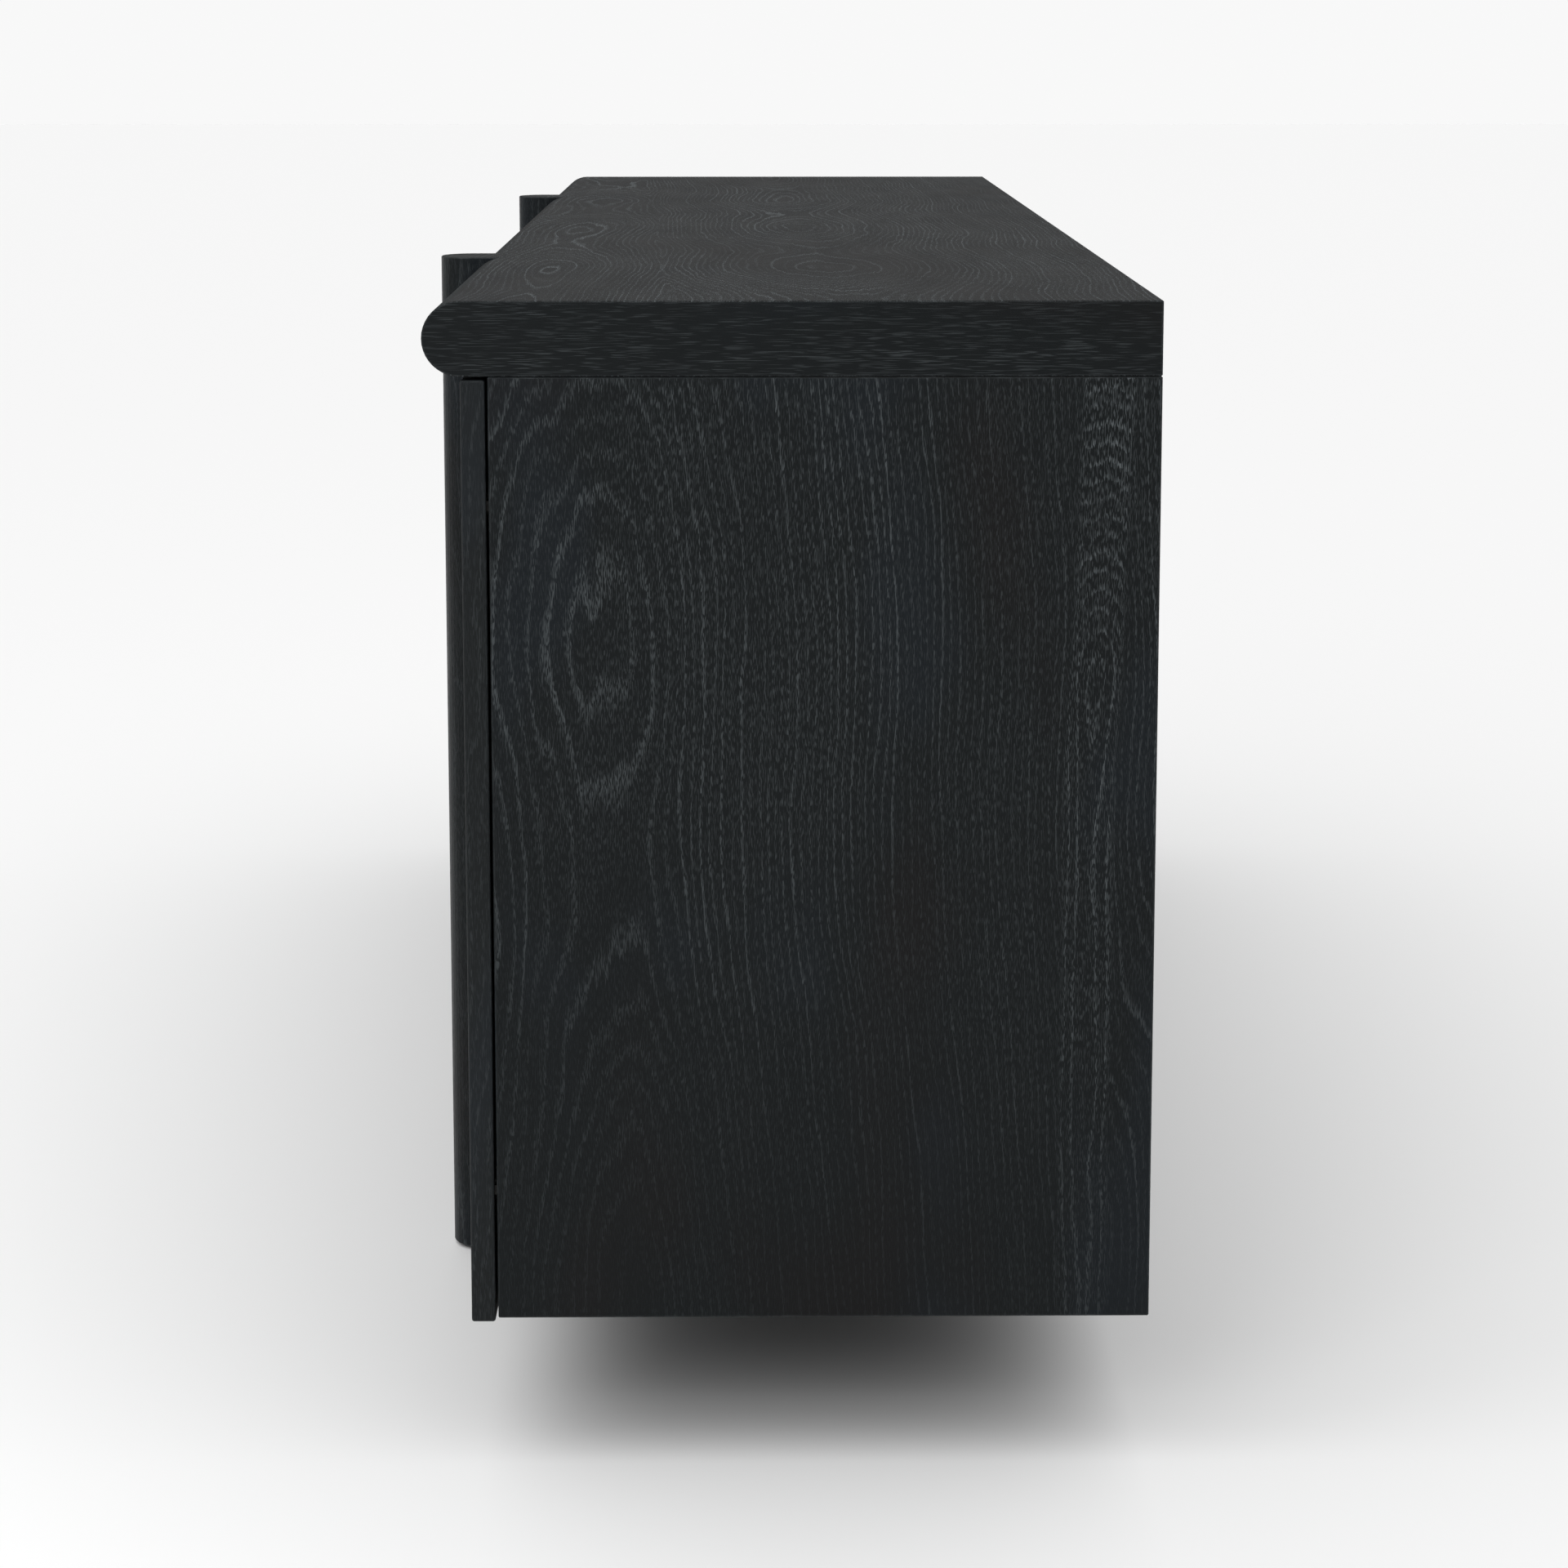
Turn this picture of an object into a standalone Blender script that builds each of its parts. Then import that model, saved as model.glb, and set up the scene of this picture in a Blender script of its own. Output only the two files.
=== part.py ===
"""A long dresser in black-stained oak: a bullnose top that two D-section posts pass through,
a door in each end bay and three drawers between the posts.

X runs along the length, -Y is the front and Z is up. The origin is on the floor, at the
middle of the object's box. Metres throughout.
"""

import math

import bmesh
import bpy
from mathutils import Vector

# ---- driving dimensions ----------------------------------------------------------------
LENGTH = 1.830
TOP_DEPTH = 0.508  # nose of the top to its back edge
TOP_THICK = 0.052
CASE_HEIGHT = 0.673  # the end panels, between the legs and the top
LEG_HEIGHT = 0.108
POST_SHARE = 0.245  # how far in from each end the posts stand, as a share of the length
PANEL = 0.020
BACK_THICK = 0.008
FRONT_THICK = 0.017  # doors and drawer fronts
FRONT_GAP = 0.002  # closed front to case
REVEAL = 0.0025  # round the fronts
ROW_GAP = 0.003  # between drawer fronts
DROP = 0.003  # the fronts hang this far below the case
EASE = 0.0018  # rounding of the fronts' edges
SCOOP_WIDTH = 0.100  # half-moon finger pulls, cut into an edge
SCOOP_DEPTH = 0.020
SCOOP_FROM_TOP = 0.160  # the doors' pulls, down from the door's top
ARRIS = 0.0008  # rubbed-down corners elsewhere
TOUCH = 0.0003  # between pieces that meet

REAR_LEG_DEPTH = 0.072
REAR_LEG_INSET = 0.020
GLIDE_RADIUS = 0.015
GLIDE_THICK = 0.002
GLIDE_SETBACK = 0.036  # middle of a front glide, behind its post's nose

SHELF_THICK = 0.018
SHELF_SETBACK = 0.012
CLEAT = 0.018

DRAWERS = ("bottom", "middle", "top")
DRAWER_TRAVEL_SPACE = 0.013  # drawer side to divider, on each side
BOX_HEIGHT = 0.150
BOX_DEPTH = 0.420
BOX_THICK = 0.012
BOX_RISE = 0.030  # lower edge of the front to the box
BOX_FLOOR = 0.006
BOX_FLOOR_RISE = 0.008

SLIDE_LENGTH = 0.400
SLIDE_SETBACK = 0.006
SLIDE_RISE = 0.045  # box to the middle of the slide
SLIDE_SHEET = 0.0015
CASE_MEMBER_HEIGHT = 0.040
CASE_MEMBER_WIDTH = 0.009
DRAWER_MEMBER_HEIGHT = 0.034
DRAWER_MEMBER_WIDTH = 0.0085

PIVOT_IN = 0.006  # hinge axis, in from the door's outer edge
CUP_IN = 0.0198  # cup's middle, in from the door's outer edge
CUP_RADIUS = 0.0173
CUP_WALL = 0.0008
CUP_DEPTH = 0.0122
HINGE_INSET = 0.090  # hinge's middle, in from the door's top and bottom
ARM_THICK = 0.0022
ARM_HALF_HEIGHT = 0.0035
ARM_CRANK = 0.0166  # hinge axis to the straight of the arm
ARM_REACH = 0.046  # case's front to the arm's foot
FOOT_LENGTH = 0.050  # the foot lies on the end panel
FOOT_THICK = 0.012
FLANGE_LENGTH = 0.0334  # the screw flange that crosses the foot
FLANGE_THICK = 0.004
FLANGE_HEIGHT = 0.032

CATCH_SIZE = (0.014, 0.040, 0.018)
CATCH_FROM_TOP = 0.050

NOSE_STEPS = 20  # facets of a half round
TIP_STEPS = 8
GLIDE_STEPS = 24
CUP_STEPS = 32
SCOOP_STEPS = 96

# ---- planes worked out from them -------------------------------------------------------
NOSE = TOP_THICK / 2
DEPTH = TOP_DEPTH + NOSE
BACK = DEPTH / 2
TOP_NOSE = BACK - TOP_DEPTH
FRONT_FACE = TOP_NOSE + NOSE
FRONT_REAR = FRONT_FACE + FRONT_THICK
CASE_FRONT = FRONT_REAR + FRONT_GAP
BACK_PANEL_FRONT = BACK - FRONT_GAP - BACK_THICK
END = LENGTH / 2
END_INNER = END - PANEL
POST_X = LENGTH * (0.5 - POST_SHARE)
POST_INNER = POST_X - NOSE
POST_OUTER = POST_X + NOSE
CASE_BOTTOM = LEG_HEIGHT
FLOOR_TOP = CASE_BOTTOM + PANEL
TOP_BOTTOM = CASE_BOTTOM + CASE_HEIGHT
HEIGHT = TOP_BOTTOM + TOP_THICK
FRONT_LOW = CASE_BOTTOM - DROP
FRONT_HIGH = TOP_BOTTOM - REVEAL
PIVOT = Vector((END - PIVOT_IN, FRONT_REAR - FRONT_THICK / 2, 0))
BOX_HALF = POST_INNER - DRAWER_TRAVEL_SPACE
SHELF_TOP = (FLOOR_TOP + TOP_BOTTOM) / 2
SIDES = (("left", -1), ("right", 1))


def clear_scene():
    for obj in list(bpy.data.objects):
        bpy.data.objects.remove(obj)


def material(name, colour, roughness, metallic=0.0):
    made = bpy.data.materials.new(name)
    made.use_nodes = True
    shader = made.node_tree.nodes["Principled BSDF"]
    shader.inputs["Base Color"].default_value = (*colour, 1.0)
    shader.inputs["Roughness"].default_value = roughness
    shader.inputs["Metallic"].default_value = metallic
    made.diffuse_color = (*colour, 1.0)
    return made


def add_empty(name, location):
    empty = bpy.data.objects.new(name, None)
    empty.empty_display_size = 0.05
    empty.location = location
    bpy.context.scene.collection.objects.link(empty)
    return empty


def add_mesh(name, bm, origin, finish, parent=None):
    """Makes an object from bm, whose points are in the world, with its origin at the given point."""
    bmesh.ops.translate(bm, verts=bm.verts, vec=-Vector(origin))
    bmesh.ops.recalc_face_normals(bm, faces=bm.faces)
    mesh = bpy.data.meshes.new(name)
    bm.to_mesh(mesh)
    bm.free()
    obj = bpy.data.objects.new(name, mesh)
    if finish:
        mesh.materials.append(finish)
    bpy.context.scene.collection.objects.link(obj)
    if parent:
        obj.parent = parent
        origin = Vector(origin) - parent.location
    obj.location = origin
    return obj


def ease_edges(obj, width, steps):
    bevel = obj.modifiers.new("eased edges", "BEVEL")
    bevel.width = width
    bevel.segments = steps


def block(name, low, high, finish, parent=None, ease=ARRIS):
    """A board from its lowest to its highest corner, with its edges eased."""
    low, high = Vector(low), Vector(high)
    bm = bmesh.new()
    bmesh.ops.create_cube(bm, size=1.0)
    bmesh.ops.scale(bm, verts=bm.verts, vec=high - low)
    bmesh.ops.translate(bm, verts=bm.verts, vec=(low + high) / 2)
    obj = add_mesh(name, bm, (low + high) / 2, finish, parent)
    if ease:
        ease_edges(obj, ease, 1)
    return obj


def inset_outline(outline, distance):
    """The outline of a convex section, anticlockwise, moved in by a distance."""
    moved = []
    for index, corner in enumerate(outline):
        before = (corner - outline[index - 1]).normalized()
        after = (outline[(index + 1) % len(outline)] - corner).normalized()
        across = Vector((-before.y - after.y, before.x + after.x)).normalized()
        lean = across.dot(Vector((-before.y, before.x)))
        moved.append(corner + across * (distance / lean))
    return moved


def prism(name, outline, place, start, end, finish, parent=None, ease=0.0):
    """Runs a section from start to end; place(u, v, along) gives a point in the world.

    With ease, the section is convex and both ends are chamfered by that much.
    """
    outline = [Vector(point) for point in outline]
    stations = [(start, outline), (end, outline)]
    if ease:
        small = inset_outline(outline, ease)
        stations = [(start, small), (start + ease, outline), (end - ease, outline), (end, small)]
    bm = bmesh.new()
    loops = [
        [bm.verts.new(place(point.x, point.y, along)) for point in section]
        for along, section in stations
    ]
    bm.faces.new(loops[0])
    bm.faces.new(loops[-1])
    for near, far in zip(loops, loops[1:]):
        for index in range(len(near)):
            following = (index + 1) % len(near)
            bm.faces.new((near[index], near[following], far[following], far[index]))
    points = [vert.co for vert in bm.verts]
    low = Vector(min(point[axis] for point in points) for axis in range(3))
    high = Vector(max(point[axis] for point in points) for axis in range(3))
    return add_mesh(name, bm, (low + high) / 2, finish, parent)


def smooth(obj, angle=30):
    obj.data.shade_smooth()
    obj.data.set_sharp_from_angle(angle=math.radians(angle))


def cut(obj, cutter, operation="DIFFERENCE"):
    cutter.hide_render = True
    cutter.display_type = "WIRE"
    boolean = obj.modifiers.new(cutter.name, "BOOLEAN")
    boolean.operation = operation
    boolean.solver = "EXACT"
    boolean.object = cutter


def arc(centre, radius, first, last, steps):
    """Points on a circle between two angles in degrees, both included."""
    angles = [math.radians(first + (last - first) * step / steps) for step in range(steps + 1)]
    return [
        Vector((centre[0] + radius * math.cos(angle), centre[1] + radius * math.sin(angle)))
        for angle in angles
    ]


def circle(centre, radius, steps):
    return arc(centre, radius, 0, 360 - 360 / steps, steps - 1)


def upright(x, y, z):
    return Vector((x, y, z))


# ---- the case --------------------------------------------------------------------------
def make_top(oak):
    """The top: a slab with a full half-round nose, notched where the posts come through it."""
    middle = TOP_BOTTOM + NOSE
    section = arc((TOP_NOSE + NOSE, middle), NOSE, 90, 270, NOSE_STEPS)
    section += [Vector((BACK - ARRIS, TOP_BOTTOM)), Vector((BACK, TOP_BOTTOM + ARRIS))]
    section += [Vector((BACK, HEIGHT - ARRIS)), Vector((BACK - ARRIS, HEIGHT))]
    top = prism("top_slab", section, lambda u, v, x: Vector((x, u, v)), -END, END, oak, ease=ARRIS)
    for side, sign in SIDES:
        half = NOSE + TOUCH
        low = (sign * POST_X - half, TOP_NOSE - NOSE, TOP_BOTTOM - NOSE)
        high = (sign * POST_X + half, FRONT_FACE, HEIGHT + NOSE)
        cut(top, block(f"notch_{side}", low, high, None, ease=0))
    smooth(top)


def d_section(x, rear, depth):
    """A section with a straight back and a half-round nose towards the front."""
    nose = arc((x, rear - depth + NOSE), NOSE, 180, 360, NOSE_STEPS)
    return nose + [Vector((x + NOSE, rear)), Vector((x - NOSE, rear))]


def make_posts_and_legs(oak, nylon):
    """Front posts from floor to top surface, rear legs under the case, and a glide under each."""
    foot = GLIDE_THICK + TOUCH
    rear = CASE_FRONT - TOUCH
    for side, sign in SIDES:
        x = sign * POST_X
        section = d_section(x, rear, rear + BACK)
        post = prism(f"front_post_{side}", section, upright, foot, HEIGHT, oak, ease=ARRIS)
        low = (x - TOP_THICK, FRONT_FACE - TOUCH, TOP_BOTTOM - TOUCH)
        high = (x + TOP_THICK, 0, HEIGHT + NOSE)
        cut(post, block(f"shoulder_{side}", low, high, None, ease=0))
        smooth(post)
        leg_rear = BACK - REAR_LEG_INSET
        section = d_section(x, leg_rear, REAR_LEG_DEPTH)
        name = f"rear_leg_{side}"
        smooth(prism(name, section, upright, foot, CASE_BOTTOM - TOUCH, oak, ease=ARRIS))
        for end, y in (("front", GLIDE_SETBACK - BACK), ("rear", leg_rear - REAR_LEG_DEPTH / 2)):
            disc = circle((x, y), GLIDE_RADIUS, GLIDE_STEPS)
            smooth(prism(f"glide_{end}_{side}", disc, upright, 0, GLIDE_THICK, nylon))


def make_case(oak, board):
    """End panels, dividers behind the posts, floor and back."""
    under_top = TOP_BOTTOM - TOUCH
    for side, sign in SIDES:
        inner, outer = sorted((sign * END_INNER, sign * END))
        block(f"end_panel_{side}", (inner, CASE_FRONT, CASE_BOTTOM), (outer, BACK, under_top), oak)
        x = sign * POST_X
        low = (x - NOSE, CASE_FRONT, FLOOR_TOP + TOUCH)
        block(f"divider_{side}", low, (x + NOSE, BACK_PANEL_FRONT - TOUCH, under_top), oak)
    half = END_INNER - TOUCH
    high = (half, BACK_PANEL_FRONT - TOUCH, FLOOR_TOP)
    block("bottom_panel", (-half, CASE_FRONT, CASE_BOTTOM), high, oak)
    high = (half, BACK_PANEL_FRONT + BACK_THICK, under_top)
    block("back_panel", (-half, BACK_PANEL_FRONT, CASE_BOTTOM), high, board)


def make_shelves(oak):
    """One shelf in each end bay, resting on a cleat at either side."""
    rear = BACK_PANEL_FRONT - TOUCH
    underside = SHELF_TOP - SHELF_THICK
    front = CASE_FRONT + SHELF_SETBACK
    for side, sign in SIDES:
        bay = sorted((sign * (POST_OUTER + TOUCH), sign * (END_INNER - TOUCH)))
        block(f"shelf_{side}", (bay[0], front, underside), (bay[1], rear, SHELF_TOP), oak)
        for place, wall, inward in (("lower_x", bay[0], 1), ("upper_x", bay[1], -1)):
            near, far = sorted((wall, wall + inward * CLEAT))
            against = "inner" if (place == "lower_x") == (sign > 0) else "outer"
            low = (near, front + SHELF_SETBACK, underside - TOUCH - CLEAT)
            high = (far, rear - SHELF_SETBACK, underside - TOUCH)
            block(f"shelf_cleat_{side}_{against}", low, high, oak)


# ---- fronts ----------------------------------------------------------------------------
def along_y(x, z, y):
    return Vector((x, y, z))


def cylinder(name, centre, radius, start, end, steps, finish, parent=None):
    """A round bar along Y."""
    return prism(name, circle(centre, radius, steps), along_y, start, end, finish, parent)


def make_front(name, low, high, scoop_at, outward, oak, parent):
    """A front board with a half-moon finger pull cut into one edge.

    scoop_at is the pull's middle on that edge, as (x, z), and outward points out of the board there.
    """
    front = block(name, (low[0], FRONT_FACE, low[1]), (high[0], FRONT_REAR, high[1]), oak, parent, ease=0)
    radius = ((SCOOP_WIDTH / 2) ** 2 + SCOOP_DEPTH**2) / (2 * SCOOP_DEPTH)
    centre = Vector(scoop_at) + Vector(outward) * (radius - SCOOP_DEPTH)
    start, end = FRONT_FACE - FRONT_THICK, CASE_FRONT
    cut(front, cylinder(f"{name}_scoop", centre, radius, start, end, SCOOP_STEPS, None, parent))
    ease_edges(front, EASE, 3)
    return front


# ---- doors and their hinges ------------------------------------------------------------
def hinge_heights():
    return (("lower", FRONT_LOW + HINGE_INSET), ("upper", FRONT_HIGH - HINGE_INSET))


def make_hinge_cup(name, centre, steel, parent):
    """The cup that sits in the door's rear face, open towards the case."""
    steps = CUP_STEPS
    cup = cylinder(name, centre, CUP_RADIUS, FRONT_REAR - CUP_DEPTH, FRONT_REAR, steps, steel, parent)
    bore = CUP_RADIUS - CUP_WALL
    floor = FRONT_REAR - CUP_DEPTH + CUP_WALL
    cut(cup, cylinder(f"{name}_bore", centre, bore, floor, CASE_FRONT, steps, None, parent))
    smooth(cup)


def make_hinge_arm(name, sign, height, steel):
    """The arm screwed inside the end panel, cranked to reach the pivot in the cup."""
    half = ARM_THICK / 2
    wall = END_INNER - TOUCH
    inner = PIVOT.x - ARM_CRANK
    foot_front = CASE_FRONT + ARM_REACH
    foot_rear = foot_front + FOOT_LENGTH
    section = [Vector((inner - half, PIVOT.y - half))]
    section += arc((PIVOT.x, PIVOT.y), half, -90, 90, TIP_STEPS)
    section += [Vector((inner + half, PIVOT.y + half)), Vector((inner + half, foot_front))]
    section += [Vector((wall, foot_front)), Vector((wall, foot_rear))]
    section += [Vector((wall - FOOT_THICK, foot_rear)), Vector((wall - FOOT_THICK, foot_front))]
    section += [Vector((inner - half, foot_front - FOOT_THICK))]

    def place(x, y, z):
        return Vector((sign * x, y, z))

    arm = prism(name, section, place, height - ARM_HALF_HEIGHT, height + ARM_HALF_HEIGHT, steel)
    near, far = sorted((sign * (wall - FLANGE_THICK), sign * wall))
    front = (foot_front + foot_rear - FLANGE_LENGTH) / 2
    low = (near, front, height - FLANGE_HEIGHT / 2)
    high = (far, front + FLANGE_LENGTH, height + FLANGE_HEIGHT / 2)
    cut(arm, block(f"{name}_flange", low, high, None, ease=0), "UNION")


def make_doors(oak, steel):
    """A full-height door over each end bay, turning on two cup hinges at its outer edge."""
    for side, sign in SIDES:
        pivot = add_empty(f"door_{side}_axis", (sign * PIVOT.x, PIVOT.y, FRONT_LOW))
        free_edge = sign * (POST_OUTER + REVEAL)
        near, far = sorted((free_edge, sign * END))
        low, high = (near, FRONT_LOW), (far, FRONT_HIGH)
        scoop_at = (free_edge, FRONT_HIGH - SCOOP_FROM_TOP)
        door = make_front(f"door_{side}", low, high, scoop_at, (-sign, 0), oak, pivot)
        for place, height in hinge_heights():
            centre = (sign * (END - CUP_IN), height)
            radius = CUP_RADIUS + TOUCH
            start = FRONT_REAR - CUP_DEPTH - TOUCH
            name = f"pocket_{side}_{place}"
            cut(door, cylinder(name, centre, radius, start, CASE_FRONT, CUP_STEPS, None, pivot))
            make_hinge_cup(f"hinge_cup_{side}_{place}", centre, steel, pivot)
            make_hinge_arm(f"hinge_arm_{side}_{place}", sign, height, steel)
        smooth(door)


def make_catches(plastic):
    """A magnetic catch inside each end bay, on the divider behind the door's free edge."""
    width, length, height = CATCH_SIZE
    front = FRONT_REAR + TOUCH
    high = TOP_BOTTOM - CATCH_FROM_TOP
    for side, sign in SIDES:
        near, far = sorted((sign * (POST_OUTER + TOUCH), sign * (POST_OUTER + TOUCH + width)))
        block(f"door_catch_{side}", (near, front, high - height), (far, front + length, high), plastic)


# ---- drawers and their slides ----------------------------------------------------------
def channel_section(web, reach, middle, height):
    """A C section: the outer face of its web at x = web, its flanges reaching over to x = reach."""
    towards = math.copysign(1, reach - web)
    inner = web + towards * SLIDE_SHEET
    low, high = middle - height / 2, middle + height / 2
    return [
        (web, low),
        (reach, low),
        (reach, low + SLIDE_SHEET),
        (inner, low + SLIDE_SHEET),
        (inner, high - SLIDE_SHEET),
        (reach, high - SLIDE_SHEET),
        (reach, high),
        (web, high),
    ]


def make_slides(row, middle, steel, parent):
    """A case member on each divider and the drawer member that runs inside it."""
    start = CASE_FRONT + SLIDE_SETBACK
    end = start + SLIDE_LENGTH
    for side, sign in SIDES:
        web = sign * (POST_INNER - TOUCH)
        reach = sign * (POST_INNER - TOUCH - CASE_MEMBER_WIDTH)
        section = channel_section(web, reach, middle, CASE_MEMBER_HEIGHT)
        prism(f"slide_case_{row}_{side}", section, along_y, start, end, steel)
        web = sign * (BOX_HALF + TOUCH)
        reach = sign * (BOX_HALF + TOUCH + DRAWER_MEMBER_WIDTH)
        section = channel_section(web, reach, middle, DRAWER_MEMBER_HEIGHT)
        prism(f"slide_drawer_{row}_{side}", section, along_y, start, end, steel, parent)


def make_drawer(row, low, high, oak, ply, steel):
    """One drawer: an oak front with a box of four boards behind it."""
    runner = add_empty(f"drawer_{row}_axis", (0, FRONT_REAR, (low + high) / 2))
    half = POST_INNER - REVEAL
    name = f"drawer_{row}_front"
    smooth(make_front(name, (-half, low), (half, high), (0, high), (0, 1), oak, runner))
    start = FRONT_REAR + TOUCH
    end = start + BOX_DEPTH
    base = low + BOX_RISE
    inside = BOX_HALF - BOX_THICK
    for side, sign in SIDES:
        near, far = sorted((sign * inside, sign * BOX_HALF))
        name = f"drawer_{row}_side_{side}"
        block(name, (near, start, base), (far, end, base + BOX_HEIGHT), ply, runner)
    inside -= TOUCH
    rear = end - BOX_THICK
    block(f"drawer_{row}_back", (-inside, rear, base), (inside, end, base + BOX_HEIGHT), ply, runner)
    floor = base + BOX_FLOOR_RISE
    floor_high = (inside, rear - TOUCH, floor + BOX_FLOOR)
    block(f"drawer_{row}_bottom", (-inside, start, floor), floor_high, ply, runner)
    make_slides(row, base + SLIDE_RISE, steel, runner)


def make_drawers(oak, ply, steel):
    pitch = (FRONT_HIGH - FRONT_LOW + ROW_GAP) / len(DRAWERS)
    for index, row in enumerate(DRAWERS):
        low = FRONT_LOW + index * pitch
        make_drawer(row, low, low + pitch - ROW_GAP, oak, ply, steel)


def main():
    clear_scene()
    oak = material("black_oak", (0.018, 0.021, 0.023), 0.55)
    board = material("black_board", (0.015, 0.016, 0.017), 0.7)
    ply = material("drawer_wood", (0.055, 0.043, 0.034), 0.6)
    steel = material("zinc_steel", (0.55, 0.55, 0.55), 0.35, 1.0)
    nylon = material("nylon", (0.02, 0.02, 0.02), 0.6)
    make_case(oak, board)
    make_posts_and_legs(oak, nylon)
    make_shelves(oak)
    make_doors(oak, steel)
    make_catches(nylon)
    make_drawers(oak, ply, steel)
    make_top(oak)


main()
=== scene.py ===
"""The looks of a long dresser in black-stained, open-pore oak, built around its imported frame.

The oak is a procedural material: growth rings cut by the board's face, rows of open pores that show
pale against the stain, and a satin lacquer. Each board gets its own cut: which way its grain runs,
where its cathedral figures lie and how fast they spread.
"""

import math
from collections import namedtuple
from typing import NamedTuple

import bmesh
import bpy
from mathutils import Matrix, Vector


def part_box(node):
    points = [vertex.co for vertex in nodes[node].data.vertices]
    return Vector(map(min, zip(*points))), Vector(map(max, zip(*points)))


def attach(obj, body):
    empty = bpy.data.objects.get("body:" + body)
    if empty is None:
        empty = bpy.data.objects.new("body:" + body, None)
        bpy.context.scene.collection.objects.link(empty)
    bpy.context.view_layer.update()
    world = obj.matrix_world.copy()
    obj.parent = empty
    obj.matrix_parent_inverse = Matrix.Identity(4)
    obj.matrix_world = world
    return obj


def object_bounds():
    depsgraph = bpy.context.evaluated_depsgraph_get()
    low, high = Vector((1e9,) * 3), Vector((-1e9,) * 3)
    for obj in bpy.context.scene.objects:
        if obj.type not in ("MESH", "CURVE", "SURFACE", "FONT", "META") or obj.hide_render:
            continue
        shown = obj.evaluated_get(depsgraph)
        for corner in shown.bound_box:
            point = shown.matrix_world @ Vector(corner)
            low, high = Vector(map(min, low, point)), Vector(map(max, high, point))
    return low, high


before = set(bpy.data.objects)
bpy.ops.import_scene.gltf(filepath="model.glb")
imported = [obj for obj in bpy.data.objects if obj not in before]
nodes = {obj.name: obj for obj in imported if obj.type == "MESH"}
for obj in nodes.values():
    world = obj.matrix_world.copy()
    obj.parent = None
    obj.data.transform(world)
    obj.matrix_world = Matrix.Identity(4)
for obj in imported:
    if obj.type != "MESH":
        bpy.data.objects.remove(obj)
cad_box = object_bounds()
CASE = "case"
AXES = {"x": 0, "y": 1, "z": 2}
END = cad_box[1].x  # where the right-hand end lies,
HIGH = cad_box[1].z  # the top's face,
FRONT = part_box("door_right")[0].y  # and the doors' faces

# A noise: its spots per metre along three directions, what it adds to its seed, and its detail.
Noise = namedtuple("Noise", "scales seed detail")
# A seed of one moves a noise SEED_FIRST along the first direction, and SEED_STEP further along each next.
SEED_FIRST, SEED_STEP = 1.7, 0.6
# A range below holds a low and a high value. Where it holds four, the last two are what those turn into.

# ---- camera: it looks along the dresser from beyond its right-hand end -----------------
# its place is in metres from the dresser's right, upper and rear limits, and its turns are in degrees
SENSOR = 36.0
LENS = 77.8
CAMERA_AHEAD = 2.309
CAMERA_ABOVE = 0.191
CAMERA_FROM_BACK = 0.282
CAMERA_PITCH = 7.86
CAMERA_YAW = 0.55
CAMERA_SHIFT_Y = -0.19

# ---- studio ----------------------------------------------------------------------------
FLOOR_SIZE = 60.0
FLOOR_DROP = 0.0005
FLOOR_PAINT = (0.89, 0.89, 0.89, 1)
FLOOR_ROUGHNESS = (0.3, 0.7, 0.85, 0.95)
FLOOR_MARKS = Noise((3, 3, 3), 0.0, 1.0)
BACKDROP = 0.94  # light of the sky where the camera sees it
SKY_LOW, SKY_HIGH = 0.18, 1.50  # light from the horizon and from overhead
SKY_RISE = (0.18, 0.95)  # heights on the sky, as sines, where it leaves the one and reaches the other
# A softbox: where it stands, what it looks at, its width and height in metres, and its watts.
Softbox = namedtuple("Softbox", "place target size power")
SOFTBOXES = {
    "side_softbox": Softbox((1.35, -1.30, 1.75), (0.6, -0.2, 0.5), (0.9, 1.3), 5),
    "end_softbox": Softbox((3.5, -1.3, 1.9), (0.7, -0.25, 0.6), (1.5, 1.1), 18),
}

# ---- oak: its colours ------------------------------------------------------------------
STAIN = (0.0056, 0.0073, 0.0080, 1)
STAIN_BLUE = (0.0072, 0.0098, 0.0122, 1)
STAIN_WARM = (0.0071, 0.0070, 0.0073, 1)
PORE = (0.082, 0.093, 0.098, 1)
TONE = Noise((9, 9, 4), 6.0, 2.0)
CLOUD = Noise((6, 6, 2.4), 5.0, 2.0)
BLUE_TONES = (0.50, 0.68)  # the tones over which the stain turns blue
WARM_CLOUDS = (0.48, 0.30)  # the clouds over which it turns warm

# ---- oak: its figures and rings. What bends or shifts them is in metres ----------------
SHALLOW = 0.010  # a pith never comes nearer to the face than about this
ROLL_LENGTH = 0.50  # a pith ripples once in this length
INWARD = 0.6  # how much a pith's depth changes for each metre away from the board's face
FIBRES = Noise((640, 640, 10), 0.0, 1.0)
FRAY = 0.020  # how far a narrow strip of fibres is shifted along the grain
SLOW_BENDS = Noise((3.2, 3.2, 2.6), 3.1, 2.0)
WANDER, SWAY, UNEVEN = 0.010, 0.012, 0.010  # how far a pith moves in depth and sideways, and rings stray
QUICK_BENDS = Noise((34, 34, 6), 1.0, 2.0)
BEND = 0.0060
FIGURE_JOIN = 0.006  # two figures run into each other over this distance
STRIP_EDGE = 0.003  # a figure's own strip begins over this distance
STRIP_BOLD = 1.2  # how much bolder the pores are in it
RINGS = 185.0  # growth rings per metre, seen square on
BAND_START = (0.0, 0.10)  # the parts of a ring over which its early wood begins
BAND_END = (0.12, 0.48, 1.0, 0.0)  # and those over which it ends
POOR_YEAR = 0.35  # how much the weakest ring shows
QUIET_TONES = (0.56, 0.40)  # the tones over which the wood turns quiet
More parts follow.
